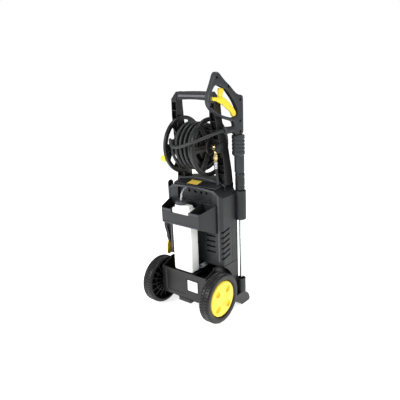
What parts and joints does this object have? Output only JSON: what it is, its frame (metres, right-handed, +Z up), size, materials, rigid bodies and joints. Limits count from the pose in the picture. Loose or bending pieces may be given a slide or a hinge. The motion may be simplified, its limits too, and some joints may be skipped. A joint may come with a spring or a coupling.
{
  "type": "pressure washer",
  "caption": "Upright wheeled electric pressure washer with handle-mounted hose reel, detergent bottle in a tray, and a trigger gun and lance parked at its side.",
  "frame": {"origin": "centre of the bounding box on the floor, cord nodes left out", "axes": "+Z up; -Y towards the bottle and the user, +X towards the parked gun"},
  "size_m": [0.347, 0.312, 0.951],
  "materials": {
    "black_plastic": "satin black moulded plastic",
    "charcoal_plastic": "fine-grained charcoal plastic",
    "grey_plastic": "satin dark grey plastic",
    "yellow_plastic": "glossy yellow plastic",
    "white_plastic": "milky white polyethylene",
    "clear_plastic": "cloudy clear plastic",
    "brass": "machined brass",
    "steel": "brushed steel",
    "iron": "cast metal",
    "aluminium": "cast aluminium",
    "rubber": "black rubber"
  },
  "bodies": {
    "frame": {"base_chassis": "black_plastic", "axle": "steel", "rating_plate": "white_plastic", "left_foot": "black_plastic", "right_foot": "black_plastic", "lance_cup": "charcoal_plastic", "rear_shell": "charcoal_plastic", "front_shell": "black_plastic", "deck_cover": "charcoal_plastic", "deck_label": "yellow_plastic", "left_post": "black_plastic", "right_post": "black_plastic", "handle_grip": "black_plastic", "grip_strip": "grey_plastic", "detergent_tray": "charcoal_plastic", "lance_clip": "charcoal_plastic", "reel_bush_left": "grey_plastic", "reel_bush_right": "grey_plastic", "cord_hook_upper": "black_plastic", "cord_gland": "black_plastic", "cord_lead": "rubber", "cord_hank": "rubber", "plug": "rubber", "hose_strand": "rubber", "swivel_fitting": "brass", "feed_hose": "rubber", "motor_stator": "iron", "gear_housing": "aluminium", "pump_head": "brass", "capacitor": "white_plastic", "switch_box": "black_plastic", "water_inlet": "clear_plastic"},
    "left_wheel_set": {"left_wheel": "charcoal_plastic", "left_hub_cap": "yellow_plastic"},
    "right_wheel_set": {"right_wheel": "charcoal_plastic", "right_hub_cap": "yellow_plastic"},
    "reel": {"reel_flange_left": "black_plastic", "reel_flange_right": "black_plastic", "reel_drum": "black_plastic", "reel_shaft": "grey_plastic", "crank_arm": "black_plastic", "hose_coil": "rubber"},
    "crank_knob": {"crank_knob": "yellow_plastic"},
    "bottle": {"detergent_bottle": "white_plastic", "suction_tube": "clear_plastic"},
    "bottle_cap": {"bottle_cap": "clear_plastic"},
    "gun": {"gun_shell_rear": "grey_plastic", "gun_shell_front": "grey_plastic", "gun_inlet": "grey_plastic", "barrel_grip": "grey_plastic", "lance_tube": "steel"},
    "trigger": {"trigger": "yellow_plastic"},
    "safety_latch": {"safety_latch": "yellow_plastic"},
    "lance_coupling": {"lance_coupling": "charcoal_plastic"},
    "spray_head": {"spray_head": "black_plastic"},
    "power_switch": {"power_switch": "yellow_plastic"},
    "motor_rotor": {"motor_rotor": "steel", "motor_fan": "charcoal_plastic", "wobble_plate": "steel"},
    "cord_hook": {"cord_hook_lower": "yellow_plastic"}
  },
  "joints": [
    {"name": "left_wheel_spin", "type": "hinge", "parent": "frame", "child": "left_wheel_set", "pos_m": [-0.1505, -0.056, 0.1], "axis": [1, 0, 0], "continuous": true},
    {"name": "right_wheel_spin", "type": "hinge", "parent": "frame", "child": "right_wheel_set", "pos_m": [0.1505, -0.056, 0.1], "axis": [1, 0, 0], "continuous": true},
    {"name": "reel_turn", "type": "hinge", "parent": "frame", "child": "reel", "pos_m": [0, 0.028, 0.673], "axis": [1, 0, 0], "continuous": true},
    {"name": "crank_knob_spin", "type": "hinge", "parent": "reel", "child": "crank_knob", "pos_m": [-0.14, -0.004, 0.613], "axis": [1, 0, 0], "continuous": true},
    {"name": "bottle_lift", "type": "slide", "parent": "frame", "child": "bottle", "axis": [0, 0, 1], "range_m": [0, 0.06]},
    {"name": "bottle_cap_twist", "type": "hinge", "parent": "bottle", "child": "bottle_cap", "pos_m": [-0.015, -0.062, 0.46], "axis": [0, 0, 1], "continuous": true},
    {"name": "gun_lift", "type": "slide", "parent": "frame", "child": "gun", "axis": [0, 0, 1], "range_m": [0, 0.44]},
    {"name": "trigger_pull", "type": "hinge", "parent": "gun", "child": "trigger", "pos_m": [0.14066, 0.07951, 0.792], "axis": [-0.9816, 0.1908, 0], "range_deg": [0, 9], "stiffness_Nm_per_rad": 2, "springref_deg": -6.88},
    {"name": "safety_latch_flip", "type": "hinge", "parent": "trigger", "child": "safety_latch", "pos_m": [0.12806, 0.01473, 0.868], "axis": [0.9816, -0.1908, 0], "range_deg": [0, 35]},
    {"name": "coupling_twist", "type": "hinge", "parent": "gun", "child": "lance_coupling", "pos_m": [0.146, 0.107, 0.53], "axis": [0, 0, 1], "range_deg": [0, 60]},
    {"name": "spray_pattern_twist", "type": "hinge", "parent": "gun", "child": "spray_head", "pos_m": [0.146, 0.107, 0.09], "axis": [0, 0, 1], "range_deg": [0, 90]},
    {"name": "power_switch_turn", "type": "hinge", "parent": "frame", "child": "power_switch", "pos_m": [0.04, 0.102, 0.452], "axis": [0, 1, 0], "range_deg": [0, 90]},
    {"name": "motor_spin", "type": "hinge", "parent": "frame", "child": "motor_rotor", "pos_m": [-0.024, 0.046, 0.31], "axis": [0, 0, 1], "continuous": true},
    {"name": "cord_hook_swivel", "type": "hinge", "parent": "frame", "child": "cord_hook", "pos_m": [-0.15, 0.049, 0.284], "axis": [1, 0, 0], "range_deg": [0, 150]}
  ]
}
